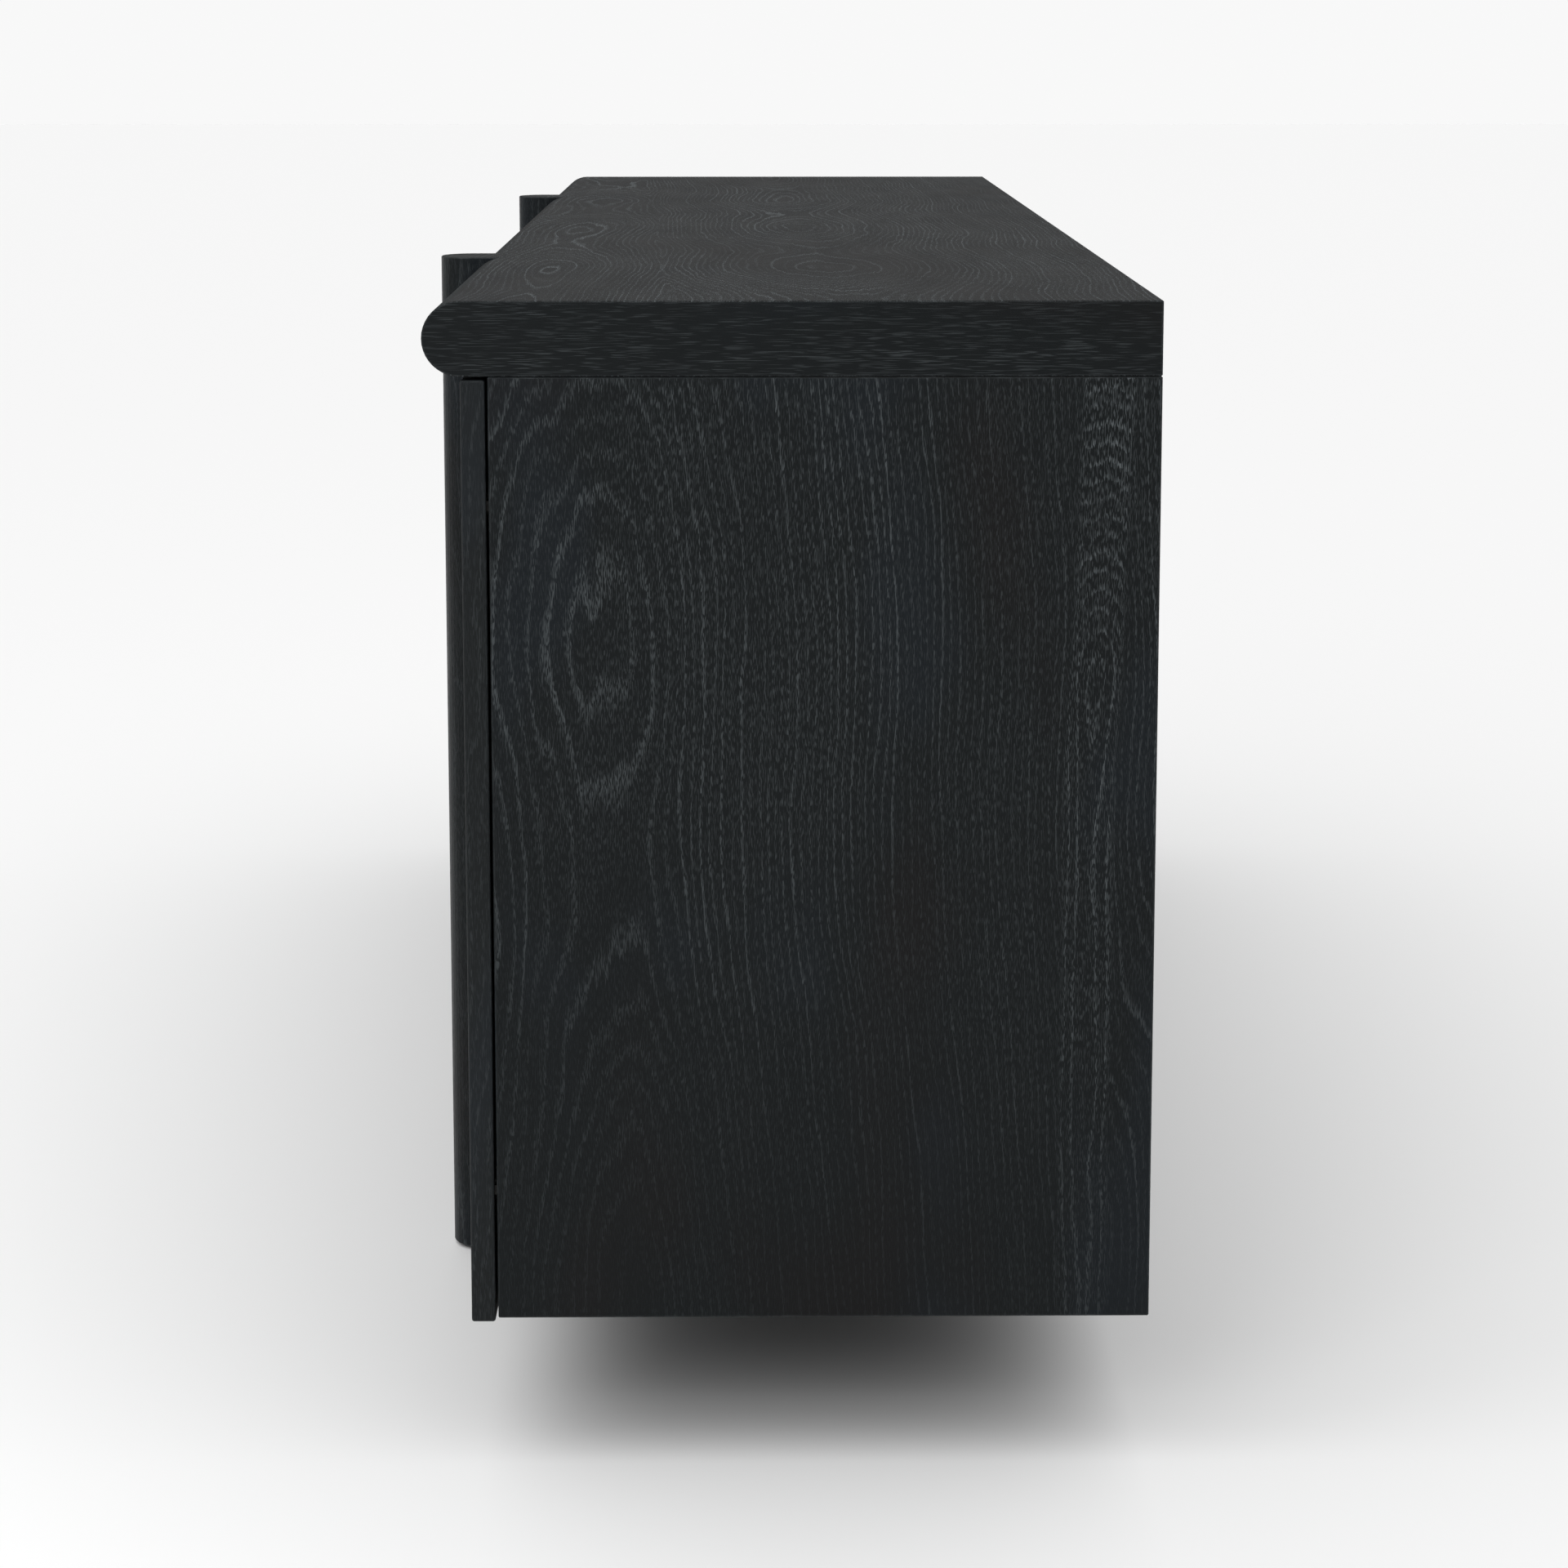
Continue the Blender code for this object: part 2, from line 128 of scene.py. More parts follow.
QUIET_BAND = 0.66  # how much the rings show in a quiet patch

# ---- oak: its pores and its lacquer ----------------------------------------------------
PORES_ACROSS = 1650.0
PORES_ALONG = 190.0
PORE_FRAY = 0.3  # the part of the fibres' shift that the rows of pores follow
PORE_LEVEL = 0.556  # the noise is a pore from here up, and fully one PORE_EDGE higher
PORE_EDGE = 0.10
BAND_CROWDING = 0.15  # how much lower that level is in early wood
QUIET_CROWDING = 0.014  # and in a quiet patch
STRANDS = Noise((420, 420, 26), 4.0, 1.0)
STRAND_SWING = 0.10  # and how much it goes up and down from strand to strand
PLAIN_STRENGTH, BAND_STRENGTH, QUIET_STRENGTH = 0.28, 0.72, 0.10  # how clear the pores are
CLOUD_STRENGTH = (0.32, 0.62, 0.60, 1.15)  # what the clouds multiply that by
BAND_LIGHT = 0.10  # how light early wood is between its pores
SMEARS = Noise((34, 34, 9), 8.0, 2.0)
SMEAR = 0.10  # how much the lacquer's roughness goes up and down
PORE_DENT = (0.50, 0.68, 1.0, 0.0)  # the noise over which the face drops into a pore
PORE_BUMP = (0.5, 0.00018)  # a bump's strength and its depth in metres

# ---- oak: where its edges are worn, and lit by a painted highlight ---------------------
WEAR_AND_HIGHLIGHT_WIDTH = 0.0016
WEAR_AND_HIGHLIGHT_SAMPLES = 4
WEAR_AND_HIGHLIGHT_TURN = (0.98, 0.80)  # the cosines over which a corner's turn brings the wear and the painted highlight in
WEAR_AND_HIGHLIGHT_SPECKS = Noise((60, 60, 60), 8.0, 3.0)
WEAR_AND_HIGHLIGHT_RANGE = (0.42, 0.66, 0.25, 1.0)  # how much of the wear and the painted highlight the specks let through

# ---- which material a face shows -------------------------------------------------------
FLAT = 0.9  # a face's normal has at least this much along the axis that the face looks along
NOSE = 0.35  # the lipping begins where the slab's nose has turned this far

# ---- the other materials ---------------------------------------------------------------
MATT_GLOSS = 0.25

BIRCH_DARK = (0.030, 0.022, 0.017, 1)
BIRCH_LIGHT = (0.062, 0.047, 0.036, 1)
BIRCH_PATCH = (0.040, 0.031, 0.025, 1)
BIRCH_PATCHES = Noise((22, 5, 22), 0.0, 3.0)
BIRCH_PATCHING = (-0.5, 0.6, 0.0, 0.6)
BIRCH_STREAKS = Noise((900, 26, 900), 1.0, 2.0)
BIRCH_SHADES = (0.30, 0.72)
BIRCH_ROUGHNESS = (0.2, 0.8, 0.52, 0.68)
BIRCH_BUMP = (0.25, 0.0001)

BOARD_DARK = (0.0060, 0.0064, 0.0068, 1)
BOARD_LIGHT = (0.0130, 0.0134, 0.0138, 1)
BOARD_ROLLED = (0.0175, 0.0180, 0.0184, 1)
BOARD_MOTTLE = Noise((110, 110, 110), 0.0, 4.0)
BOARD_SHADES = (0.3, 0.7)
BOARD_FIBRES = Noise((900, 900, 900), 2.0, 2.0)
BOARD_ROLLS = Noise((1.6, 1.6, 26), 5.0, 4.0)
BOARD_ROLLING = (0.42, 0.66, 0.0, 0.6)
BOARD_ROUGHNESS = (0.7, 1.3, 0.55, 0.80)
BOARD_BUMP = (0.3, 0.00012)

CRYSTALS = Noise((420, 420, 420), 0.0, 2.0)
CRYSTAL_SHADES = (0.3, 0.7)
CRYSTAL_ROUGHNESS = 0.20
DRAWN_LINES = Noise((1400, 18, 1400), 1.0, 1.0)
DRAWN_ROUGHNESS = 0.14
DRAWN_BUMP = (0.15, 0.00005)
Plating = namedtuple("Plating", "dark light rough")
ZINC = Plating((0.46, 0.47, 0.48), (0.60, 0.61, 0.62), 0.14)
NICKEL = Plating((0.085, 0.083, 0.080), (0.13, 0.128, 0.125), 0.18)
BLACK_OXIDE = Plating((0.050, 0.050, 0.052), (0.085, 0.085, 0.088), 0.30)

NYLON_DARK = (0.012, 0.012, 0.013, 1)
NYLON_LIGHT = (0.020, 0.020, 0.021, 1)
NYLON_GRIT = Noise((1600, 1600, 1600), 0.0, 1.0)
NYLON_FLOW = Noise((60, 60, 60), 3.0, 1.0)
NYLON_SHADES = (0.35, 0.65)
NYLON_ROUGHNESS = (0.2, 0.8, 0.42, 0.60)
NYLON_BUMP = (0.3, 0.00006)

# ---- the back panel's screws -----------------------------------------------------------
HEAD_RADIUS = 0.0038
HEAD_HEIGHT = 0.0014
HEAD_FALL = 0.98  # at 1 the dome would meet the panel at its rim, and under 1 the rim keeps some height
HEAD_RINGS = 9
HEAD_SIDES = 32
RECESS_WIDTH = 0.0011
RECESS_REACH = 0.0024
RECESS_DEPTH = 0.0008
SCREW_INSET = 0.010
SCREW_TURN = 0.65  # radians between one screw's cross and the next one's
SCREW_SHARES = (1 / 3, 2 / 3, 1)  # how far up a divider its screws are


# ---- node helpers ----------------------------------------------------------------------
class Graph:
    """A short way to write shader nodes: each call adds a node and returns its output."""

    def __init__(self, tree):
        self.tree = tree

    def add(self, kind, **settings):
        node = self.tree.nodes.new(kind)
        for key, value in settings.items():
            setattr(node, key, value)
        return node

    def feed(self, socket, value):
        if isinstance(value, bpy.types.NodeSocket):
            self.tree.links.new(value, socket)
        else:
            socket.default_value = value

    def math(self, operation, *values, clamp=False):
        node = self.add("ShaderNodeMath", operation=operation, use_clamp=clamp)
        for socket, value in zip(node.inputs, values):
            self.feed(socket, value)
        return node.outputs[0]

    def sum(self, first, *others):
        for other in others:
            first = self.math("ADD", first, other)
        return first

    def product(self, first, *others):
        for other in others:
            first = self.math("MULTIPLY", first, other)
        return first

    def combine(self, x, y, z):
        node = self.add("ShaderNodeCombineXYZ")
        for socket, value in zip(node.inputs, (x, y, z)):
            self.feed(socket, value)
        return node.outputs[0]

    def place(self):
        """The point on the surface, in metres in the dresser's frame, as x, y and z."""
        split = self.add("ShaderNodeSeparateXYZ")
        self.feed(split.inputs[0], self.add("ShaderNodeTexCoord").outputs["Object"])
        return split.outputs

    def noise(self, point, kind, seed):
        """A noise node, at the point as three numbers."""
        moved = [
            self.math("MULTIPLY_ADD", part, scale, (seed + kind.seed) * (SEED_FIRST + SEED_STEP * index))
            for index, (part, scale) in enumerate(zip(point, kind.scales))
        ]
        node = self.add("ShaderNodeTexNoise", noise_dimensions="3D")
        self.feed(node.inputs["Vector"], self.combine(*moved))
        node.inputs["Scale"].default_value = 1.0
        node.inputs["Detail"].default_value = kind.detail
        return node

    def stretched(self, point, kind, seed=0.0):
        """A noise's value, from 0 to 1."""
        return self.noise(point, kind, seed).outputs["Fac"]

    def swing(self, point, kind, size, seed=0.0):
        """The same, centred on zero and reaching about size either way."""
        return self.math("MULTIPLY_ADD", self.stretched(point, kind, seed), 2 * size, -size)

    def swings(self, point, kind, sizes, seed=0.0):
        """Three such noises that have nothing to do with each other, for the price of one."""
        split = self.add("ShaderNodeSeparateColor")
        self.feed(split.inputs[0], self.noise(point, kind, seed).outputs["Color"])
        return [
            self.math("MULTIPLY_ADD", part, 2 * size, -size) for part, size in zip(split.outputs, sizes)
        ]

    def remap(self, value, low, high, to_low=0.0, to_high=1.0, smooth=True):
        """A value that goes from low to high, turned into one that goes from to_low to to_high."""
        kind = "SMOOTHSTEP" if smooth else "LINEAR"
        node = self.add("ShaderNodeMapRange", interpolation_type=kind)
        given = {"Value": value, "From Min": low, "From Max": high, "To Min": to_low, "To Max": to_high}
        for key, item in given.items():
            self.feed(node.inputs[key], item)
        return node.outputs["Result"]

    def mix(self, factor, first, second):
        node = self.add("ShaderNodeMix", data_type="RGBA")
        sockets = [socket for socket in node.inputs if socket.type == "RGBA"]
        self.feed(node.inputs[0], factor)
        self.feed(sockets[0], first)
        self.feed(sockets[1], second)
        return next(socket for socket in node.outputs if socket.type == "RGBA")

    def bump(self, height, strength, depth):
        node = self.add("ShaderNodeBump")
        node.inputs["Strength"].default_value = strength
        node.inputs["Distance"].default_value = depth
        self.feed(node.inputs["Height"], height)
        return node.outputs["Normal"]


def new_material(name):
    """A material, the graph of its nodes and its shader."""
    material = bpy.data.materials.new(name)
    material.use_nodes = True
    return material, Graph(material.node_tree), material.node_tree.nodes["Principled BSDF"]


# ---- oak -------------------------------------------------------------------------------
class Figure(NamedTuple):
    """One cathedral figure on a board's face, cut by rings round a pith that lies behind the face."""

    centre: float  # where the pith runs across the board, at its level along it
    depth: float  # how deep it lies there
    drift: float = 0.0  # how fast it moves across, and
    slope: float = 0.0  # how fast it gets deeper, going along
    level: float = 0.0
    roll: float = 0.0  # how much its depth ripples
    low_side: float = 1.0  # how fast rings follow each other on the side below its centre, against the other
    behind: float = 0.0  # metres of rings in front of it
    jag: float = 1.0  # how ragged its arches are
    reach: float = None  # a strip of its own within that distance of its centre, or none


class Board(NamedTuple):
    """How a board's oak is cut and finished."""

    name: str
    across: str  # the axis that its figures are laid out across
    along: str  # the axis that its grain runs along
    figures: list
    seed: float = 0.0
    face: float = 0.0  # where its face lies along the third axis; the rings run on into the wood there
    rough: float = 0.5
    gloss: float = 0.12
    contrast: float = 0.56  # how clearly its pores show
    fade: tuple = None  # (axis, low, high, least): painted shade, the pores' contrast falls to least from high down to low, as though less light reached them there
    rings: float = RINGS
    ringed: float = 1.0  # how much its rings show
    coarse: float = 1.0  # how big its pores are
    long: float = 1.0  # how long they are for their width
    sparse: float = 0.0  # how much fewer there are, as a rise of their level
    dull: float = 0.12  # how much they roughen the face
    warm: float = 0.0  # how much of the stain turns warm


def figure_field(g, u, v, inward, jag, wander, sway, figure):
    """Distance in metres from one figure's pith over the board's face, and that from its centre line."""
    along = g.math("SUBTRACT", g.math("MULTIPLY_ADD", jag, figure.jag, v), figure.level)
    ripple = g.product(g.math("COSINE", g.product(along, 2 * math.pi / ROLL_LENGTH)), -figure.roll)
    deep = g.sum(g.math("MULTIPLY_ADD", along, figure.slope, figure.depth), ripple, wander, inward)
    deep = g.math("SMOOTH_MAX", deep, SHALLOW, SHALLOW)
    middle = g.sum(g.math("MULTIPLY_ADD", along, figure.drift, figure.centre), sway)
    across = g.math("SUBTRACT", u, middle)
    skewed = g.math("MAXIMUM", across, g.product(across, figure.low_side))
    squared = g.math("MULTIPLY_ADD", skewed, skewed, g.product(deep, deep))
    return g.sum(g.math("SQRT", squared), figure.behind), g.math("ABSOLUTE", across)


def board_field(g, grain, jag, board):
    """Distance in metres from the nearest pith all over the board, and how bold its pores are."""
    u, w, v = grain
    wander, sway, uneven = g.swings(grain, SLOW_BENDS, (WANDER, SWAY, UNEVEN), board.seed)
    inward = g.product(g.math("SUBTRACT", w, board.face), INWARD)
    field = None
    bold = 1.0
    for figure in board.figures:
        other, aside = figure_field(g, u, v, inward, jag, wander, sway, figure)
        if field is None:
            field = other
        elif figure.reach:
            strip = g.remap(aside, figure.reach, figure.reach - STRIP_EDGE)
            field = g.math("MULTIPLY_ADD", strip, g.math("SUBTRACT", other, field), field)
            bold = g.math("MULTIPLY_ADD", strip, STRIP_BOLD, bold)
        else:
            field = g.math("SMOOTH_MIN", field, other, FIGURE_JOIN)
    bend = g.swing(grain, QUICK_BENDS, BEND, board.seed)
    return g.sum(field, bend, uneven), bold


def growth_rings(g, field, board):
    """Each ring's early wood as a band, clearer in some years than in others."""
    turns = g.product(field, board.rings)
    phase = g.math("FRACT", turns)
    band = g.product(g.remap(phase, *BAND_START), g.remap(phase, *BAND_END))
    year = g.add("ShaderNodeTexWhiteNoise", noise_dimensions="1D")
    g.feed(year.inputs["W"], g.math("FLOOR", turns))
    least = POOR_YEAR * board.ringed
    return g.product(band, g.remap(year.outputs["Value"], 0.0, 1.0, least, board.ringed, smooth=False))


def open_pores(g, grain, jag, band, quiet, board):
    """Short dashes along the grain, crowded in early wood: the noise they are cut from, and the pores."""
    u, w, v = grain
    across, along = PORES_ACROSS / board.coarse, PORES_ALONG / board.coarse / board.long
    frayed = (u, w, g.math("MULTIPLY_ADD", jag, PORE_FRAY, v))
    dash = g.stretched(frayed, Noise((across, across, along), 0.0, 0.0), board.seed)
    strand = g.swing(grain, STRANDS, STRAND_SWING, board.seed)
    crowding = (g.product(band, -BAND_CROWDING), g.product(quiet, -QUIET_CROWDING))
    level = g.sum(*crowding, PORE_LEVEL + board.sparse, strand)
    return dash, g.remap(g.math("SUBTRACT", dash, level), 0.0, PORE_EDGE)


def worn_and_highlit_edges(g, point):
    """How light a board's corners are here, in specks: partly stain rubbed through, partly a painted highlight
    along the arris.
    """
    rounded = g.add("ShaderNodeBevel", samples=WEAR_AND_HIGHLIGHT_SAMPLES)
    rounded.inputs["Radius"].default_value = WEAR_AND_HIGHLIGHT_WIDTH
    turn = g.add("ShaderNodeVectorMath", operation="DOT_PRODUCT")
    g.feed(turn.inputs[0], rounded.outputs[0])
    g.feed(turn.inputs[1], g.add("ShaderNodeNewGeometry").outputs["Normal"])
    specks = g.remap(g.stretched(point, WEAR_AND_HIGHLIGHT_SPECKS), *WEAR_AND_HIGHLIGHT_RANGE)
    return g.product(g.remap(turn.outputs["Value"], *WEAR_AND_HIGHLIGHT_TURN), specks)


def oak(board):
    """Black-stained oak for one board."""
    material, g, shader = new_material(board.name)
    point = g.place()
    u, v = point[AXES[board.across]], point[AXES[board.along]]
    w = point[sum(AXES.values()) - AXES[board.across] - AXES[board.along]]
    grain = (u, w, v)
    seed = board.seed

    # each narrow strip of fibres is shifted a little along the grain, which frays the arches
    jag = g.swing(grain, FIBRES, FRAY, seed)
    field, bold = board_field(g, grain, jag, board)
    # in quiet patches the pores lie nearly as thick between the rings as in them
    tone = g.stretched(grain, TONE, seed)
    quiet = g.remap(tone, *QUIET_TONES)
    band = g.product(growth_rings(g, field, board), g.remap(quiet, 0.0, 1.0, 1.0, QUIET_BAND))
    dash, pores = open_pores(g, grain, jag, band, quiet, board)

    cloud = g.stretched(grain, CLOUD, seed)
    strength = g.sum(g.product(band, BAND_STRENGTH), g.product(quiet, QUIET_STRENGTH), PLAIN_STRENGTH)
    strength = g.product(strength, bold, g.remap(cloud, *CLOUD_STRENGTH), board.contrast)
    # painted shade: the pale pores dim from high down to low along the axis, as though lit from above
    if board.fade:
        axis, low, high, least = board.fade
        strength = g.product(strength, g.remap(point[AXES[axis]], low, high, least, 1.0))
    light = g.math("MULTIPLY", g.sum(pores, g.product(band, BAND_LIGHT)), strength, clamp=True)
    # the corners are lightened: partly rubbed stain, partly a painted highlight along the arris
    light = g.math("MAXIMUM", light, worn_and_highlit_edges(g, point))

    ground = g.mix(g.remap(tone, *BLUE_TONES), STAIN, STAIN_BLUE)
    ground = g.mix(g.remap(cloud, *WARM_CLOUDS, board.warm), ground, STAIN_WARM)
    g.feed(shader.inputs["Base Color"], g.mix(light, ground, PORE))
    smear = g.swing(grain, SMEARS, SMEAR, seed)
    dulled = (g.product(pores, board.dull), g.product(band, board.dull / 2))
    g.feed(shader.inputs["Roughness"], g.sum(smear, *dulled, board.rough))
    shader.inputs["Specular IOR Level"].default_value = board.gloss
    g.feed(shader.inputs["Normal"], g.bump(g.remap(dash, *PORE_DENT), *PORE_BUMP))
    return material


STRAIGHT = Figure(centre=2.0, depth=4.0, slope=0.02)
FLAME = Figure(centre=-0.112, depth=0.060, drift=-0.04, slope=0.075, level=0.640, roll=0.009, low_side=0.65)
CORNER = Figure(centre=0.226, depth=0.015, drift=0.04, slope=0.25, level=0.20, behind=0.300, jag=0.5)
CHEVRONS = Figure(
    centre=0.226, depth=0.018, drift=0.02, slope=0.38, level=0.60, behind=0.10, jag=0.20, reach=0.019
)
RIGHT_END = [FLAME, CORNER, CHEVRONS]
LEFT_END = [FLAME._replace(centre=0.09, level=0.42, low_side=0.7), CORNER._replace(centre=-0.20)]
# four cathedrals side by side, so that the doors and the drawers match across their gaps
FRONTS = [
    Figure(centre=-0.705, depth=0.060, drift=0.03, slope=0.07, level=0.55, roll=0.010, low_side=0.7),
    Figure(centre=-0.235, depth=0.085, drift=-0.02, slope=-0.06, level=0.35, roll=0.012),
    Figure(centre=0.225, depth=0.055, drift=0.03, slope=0.08, level=0.60, roll=0.010, low_side=0.8),
    Figure(centre=0.700, depth=0.075, drift=-0.03, slope=0.05, level=0.30, roll=0.014),
]
TOP = [
    Figure(centre=0.04, depth=0.085, drift=0.02, slope=0.050, level=0.62, roll=0.012),
    Figure(centre=-0.17, depth=0.045, slope=-0.05, level=0.1, roll=0.008, behind=0.06),
]


# ---- who wears what --------------------------------------------------------------------
def wear(name, *materials, choose=None):
    """Give a node its materials; choose says, from a face's normal, which of them that face shows."""
    mesh = nodes[name].data
    mesh.materials.clear()
    for material in materials:
        mesh.materials.append(material)
    if choose:
        for face in mesh.polygons:
            face.material_index = choose(face.normal)


def face_and_edges(axis):
    """Choose the first material on faces that look along the axis, and the second everywhere else."""
    return lambda normal: int(abs(normal[AXES[axis]]) < FLAT)


def slab_part(normal):
    """Choose the slab's face, its ends, or the lipping along its nose and its rear."""
    if abs(normal.x) > FLAT:
        return 1
    return 2 if abs(normal.y) > NOSE else 0


def post_part(normal):
    """Choose a post's sides or its upper end."""
    return int(normal.z > FLAT)


def dress_case():
    """Oak on every board, with lipping or edging where a board's face turns away."""
    # on both ends the pores are painted dimmer towards the floor: painted shade
    right = oak(Board(
        "oak_end_right", "y", "z", RIGHT_END, seed=1.0, face=END, contrast=0.62, fade=("z", 0.10, 0.62, 0.38)
    ))
    left = oak(Board("oak_end_left", "y", "z", LEFT_END, seed=5.0, face=-END, fade=("z", 0.10, 0.62, 0.45)))
    top = oak(Board(
        "oak_top", "y", "x", TOP, seed=2.0, face=HIGH, gloss=0.085, contrast=1.0, rings=240, dull=0.06,
        warm=0.7
    ))
    end = oak(Board(
        "oak_top_end", "z", "y", [STRAIGHT], seed=9.0, face=END, contrast=0.64, rings=130, ringed=0.3,
        coarse=0.92, long=3.4, sparse=0.060
    ))
    lip = oak(Board(
        "oak_lipping", "z", "x", [STRAIGHT], seed=11.0, face=FRONT, gloss=0.09, contrast=0.45, rings=300
    ))
    upright = oak(Board(
        "oak_edging", "y", "z", [STRAIGHT], seed=12.0, rough=0.46, gloss=0.17, contrast=0.30, rings=300,
        ringed=0.6
    ))
    posts = oak(Board(
        "oak_post", "x", "z", [STRAIGHT], seed=3.0, face=FRONT, rough=0.36, contrast=0.35, rings=300
    ))
    fronts = oak(Board("oak_front", "x", "z", FRONTS, seed=4.0, face=FRONT))
    inside = [FLAME._replace(centre=0.02, low_side=0.8)]
    inner = oak(Board("oak_inner", "y", "z", inside, seed=6.0, contrast=0.35))
    laid = [FLAME._replace(centre=0.0, level=0.2)]
    lying = oak(Board("oak_lying", "y", "x", laid, seed=7.0, contrast=0.35))
    wear("end_panel_right", right, upright, choose=face_and_edges("x"))
    wear("end_panel_left", left, upright, choose=face_and_edges("x"))
    wear("top_slab", top, end, lip, choose=slab_part)
    for name in nodes:
        if name.startswith(("front_post", "rear_leg")):
            wear(name, posts, top, choose=post_part)
        elif name in ("door_left", "door_right") or name.endswith("_front"):
            wear(name, fronts, upright, choose=face_and_edges("y"))
        elif name.startswith("divider"):
            wear(name, inner, upright, choose=face_and_edges("x"))
        elif name.startswith(("bottom_panel", "shelf")):
            wear(name, lying, lip, choose=face_and_edges("z"))


def dress_boxes():
    """Drawer boxes in birch, stained dark brown and left matt."""
    material, g, shader = new_material("stained_birch")
    point = g.place()
    patches = g.swing(point, BIRCH_PATCHES, 1.0)
    streaks = g.stretched(point, BIRCH_STREAKS)
    brown = g.mix(g.remap(streaks, *BIRCH_SHADES), BIRCH_DARK, BIRCH_LIGHT)
    brown = g.mix(g.remap(patches, *BIRCH_PATCHING), brown, BIRCH_PATCH)
    g.feed(shader.inputs["Base Color"], brown)
    g.feed(shader.inputs["Roughness"], g.remap(streaks, *BIRCH_ROUGHNESS))
    shader.inputs["Specular IOR Level"].default_value = MATT_GLOSS
    g.feed(shader.inputs["Normal"], g.bump(streaks, *BIRCH_BUMP))
    for name in nodes:
        if name.startswith("drawer") and not name.endswith("_front"):
            wear(name, material)


def dress_back():
    """The back panel: black-faced fibreboard with the faint mottle of its pressing."""
    material, g, shader = new_material("black_fibreboard")
    point = g.place()
    mottle = g.stretched(point, BOARD_MOTTLE)
    fibres = g.stretched(point, BOARD_FIBRES)
    rolled = g.stretched(point, BOARD_ROLLS)
    shade = g.mix(g.remap(mottle, *BOARD_SHADES), BOARD_DARK, BOARD_LIGHT)
    shade = g.mix(g.remap(rolled, *BOARD_ROLLING), shade, BOARD_ROLLED)
    g.feed(shader.inputs["Base Color"], shade)
    g.feed(shader.inputs["Roughness"], g.remap(g.sum(mottle, rolled), *BOARD_ROUGHNESS))
    shader.inputs["Specular IOR Level"].default_value = MATT_GLOSS
    g.feed(shader.inputs["Normal"], g.bump(fibres, *BOARD_BUMP))
    wear("back_panel", material)


def plated(name, plating):
    """Plated steel: fine crystals, and drawing lines along the slides."""
    material, g, shader = new_material(name)
    point = g.place()
    crystals = g.stretched(point, CRYSTALS)
    drawn = g.stretched(point, DRAWN_LINES)
    shade = g.mix(g.remap(crystals, *CRYSTAL_SHADES), (*plating.dark, 1), (*plating.light, 1))
    g.feed(shader.inputs["Base Color"], shade)
    shader.inputs["Metallic"].default_value = 1.0
    roughness = g.sum(
        g.product(crystals, CRYSTAL_ROUGHNESS), g.product(drawn, DRAWN_ROUGHNESS), plating.rough
    )
    g.feed(shader.inputs["Roughness"], roughness)
    g.feed(shader.inputs["Normal"], g.bump(drawn, *DRAWN_BUMP))
    return material


def dress_steel():
    """Zinc on the slides, black nickel on the hinges."""
    zinc = plated("zinc_steel", ZINC)
    nickel = plated("black_nickel", NICKEL)
    for name in nodes:
        if name.startswith("slide"):
            wear(name, zinc)
        elif name.startswith("hinge"):
            wear(name, nickel)


def dress_nylon():
    """Moulded black nylon with a fine spark-eroded texture."""
    material, g, shader = new_material("black_nylon")
    point = g.place()
    grit = g.stretched(point, NYLON_GRIT)
    flow = g.stretched(point, NYLON_FLOW)
    g.feed(shader.inputs["Base Color"], g.mix(g.remap(flow, *NYLON_SHADES), NYLON_DARK, NYLON_LIGHT))
    g.feed(shader.inputs["Roughness"], g.remap(grit, *NYLON_ROUGHNESS))
    g.feed(shader.inputs["Normal"], g.bump(grit, *NYLON_BUMP))
    for name in nodes:
        if name.startswith(("glide", "door_catch")):
            wear(name, material)


# ---- screws ----------------------------------------------------------------------------
def screw_head():
    """A pan-head screw's head on the XY plane: a low dome with a cross recess."""
    mesh = bpy.data.meshes.new("screw_head")
    shape = bmesh.new()
    rings = []
    for step in range(HEAD_RINGS + 1):
        radius = HEAD_RADIUS * step / HEAD_RINGS
        height = HEAD_HEIGHT * math.sqrt(max(0.0, 1 - HEAD_FALL * (step / HEAD_RINGS) ** 2))
        ring = []
        for turn in range(HEAD_SIDES):
            angle = 2 * math.pi * turn / HEAD_SIDES
            x, y = radius * math.cos(angle), radius * math.sin(angle)
            in_cross = min(abs(x), abs(y)) < RECESS_WIDTH / 2 and radius < RECESS_REACH
            ring.append(shape.verts.new((x, y, height - RECESS_DEPTH * in_cross)))
        rings.append(ring)
    rings.append([shape.verts.new((vert.co.x, vert.co.y, 0.0)) for vert in rings[-1]])
    for inner, outer in zip(rings, rings[1:]):
        for turn in range(HEAD_SIDES):
            after = (turn + 1) % HEAD_SIDES
            shape.faces.new((inner[turn], outer[turn], outer[after], inner[after]))
    shape.faces.new(reversed(rings[-1]))
    bmesh.ops.remove_doubles(shape, verts=shape.verts, dist=HEAD_RADIUS / 1000)
    shape.to_mesh(mesh)
    shape.free()
    mesh.shade_smooth()
    mesh.materials.append(plated("black_screw", BLACK_OXIDE))
    return mesh


def fix_back():
    """Screws through the back panel into the bottom panel's rear edge and up the two dividers."""
    low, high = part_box("back_panel")
    head = screw_head()
    left, right = [sum(corner.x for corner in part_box(name)) / 2 for name in ("divider_left", "divider_right")]
    end = high.x - SCREW_INSET
    foot, top = low.z + SCREW_INSET, high.z - 2 * SCREW_INSET
    places = [(x, foot) for x in (-end, (left - end) / 2, left, 0.0, right, (right + end) / 2, end)]
    places += [(x, foot + share * (top - foot)) for x in (left, right) for share in SCREW_SHARES]
    for number, (x, z) in enumerate(places, 1):
        screw = bpy.data.objects.new(f"back_screw_{number:02d}", head)
        screw.location = (x, high.y, z)
        screw.rotation_euler = (math.radians(-90), SCREW_TURN * number, 0)
        bpy.context.scene.collection.objects.link(screw)
        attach(screw, CASE)


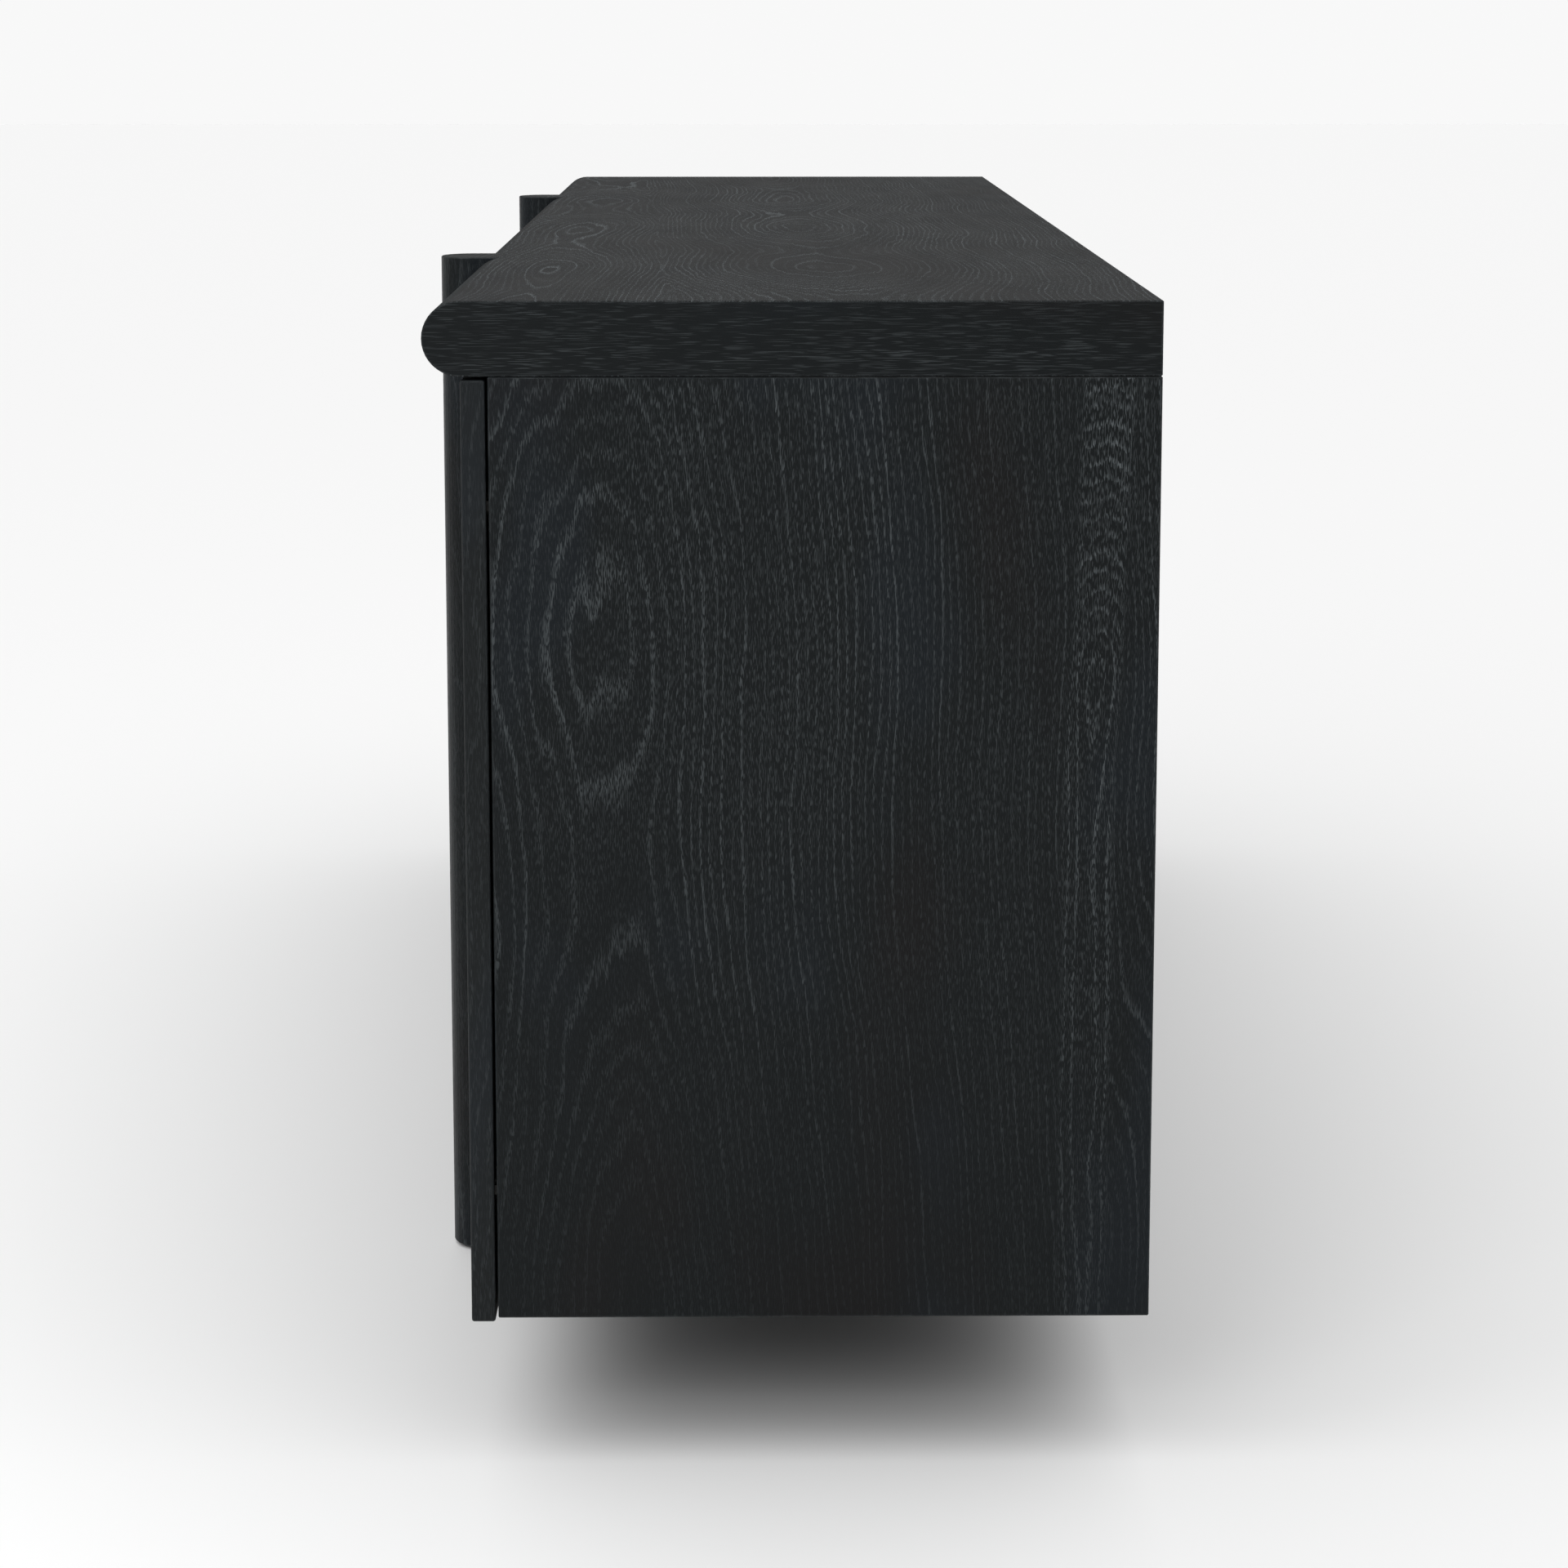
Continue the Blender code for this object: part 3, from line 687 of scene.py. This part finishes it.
# ---- studio ----------------------------------------------------------------------------
def add_softbox(name, box):
    """A soft rectangular light that the camera doesn't see."""
    data = bpy.data.lights.new(name, "AREA")
    data.shape = "RECTANGLE"
    data.size, data.size_y = box.size
    data.energy = box.power
    lamp = bpy.data.objects.new(name, data)
    lamp.location = box.place
    lamp.visible_camera = False
    lamp.rotation_euler = (Vector(box.target) - Vector(box.place)).to_track_quat("-Z", "Y").to_euler()
    bpy.context.scene.collection.objects.link(lamp)


def make_sky():
    """A white tent: brighter overhead than at the horizon, and plain where the camera sees it."""
    world = bpy.data.worlds.new("studio")
    world.use_nodes = True
    bpy.context.scene.world = world
    g = Graph(world.node_tree)
    background = world.node_tree.nodes["Background"]
    background.inputs["Color"].default_value = (1, 1, 1, 1)
    split = g.add("ShaderNodeSeparateXYZ")
    g.feed(split.inputs[0], g.add("ShaderNodeTexCoord").outputs["Generated"])
    light = g.remap(split.outputs["Z"], *SKY_RISE, SKY_LOW, SKY_HIGH)
    seen = g.add("ShaderNodeLightPath").outputs["Is Camera Ray"]
    strength = g.sum(light, g.product(seen, g.math("SUBTRACT", BACKDROP, light)))
    g.feed(background.inputs["Strength"], strength)


def make_floor():
    """A wide floor, a hair below the glides."""
    mesh = bpy.data.meshes.new("floor")
    half = FLOOR_SIZE / 2
    corners = [(-half, -half, 0), (half, -half, 0), (half, half, 0), (-half, half, 0)]
    mesh.from_pydata(corners, [], [(0, 1, 2, 3)])
    floor = bpy.data.objects.new("floor", mesh)
    floor.location.z = -FLOOR_DROP
    bpy.context.scene.collection.objects.link(floor)
    material, g, shader = new_material("floor_paint")
    shader.inputs["Base Color"].default_value = FLOOR_PAINT
    shader.inputs["Specular IOR Level"].default_value = 0.0
    marks = g.stretched(g.place(), FLOOR_MARKS)
    g.feed(shader.inputs["Roughness"], g.remap(marks, *FLOOR_ROUGHNESS))
    mesh.materials.append(material)


def make_studio():
    make_sky()
    make_floor()
    for name, box in SOFTBOXES.items():
        add_softbox(name, box)
    bpy.context.scene.view_settings.view_transform = "Standard"


def make_camera():
    high = cad_box[1]
    data = bpy.data.cameras.new("camera")
    data.sensor_width = SENSOR
    data.lens = LENS
    data.shift_y = CAMERA_SHIFT_Y
    camera = bpy.data.objects.new("camera", data)
    camera.location = (high.x + CAMERA_AHEAD, high.y - CAMERA_FROM_BACK, high.z + CAMERA_ABOVE)
    camera.rotation_euler = (math.radians(90 - CAMERA_PITCH), 0, math.radians(90 - CAMERA_YAW))
    bpy.context.scene.collection.objects.link(camera)
    bpy.context.scene.camera = camera


make_studio()
make_camera()
dress_case()
dress_boxes()
dress_back()
fix_back()
dress_steel()
dress_nylon()
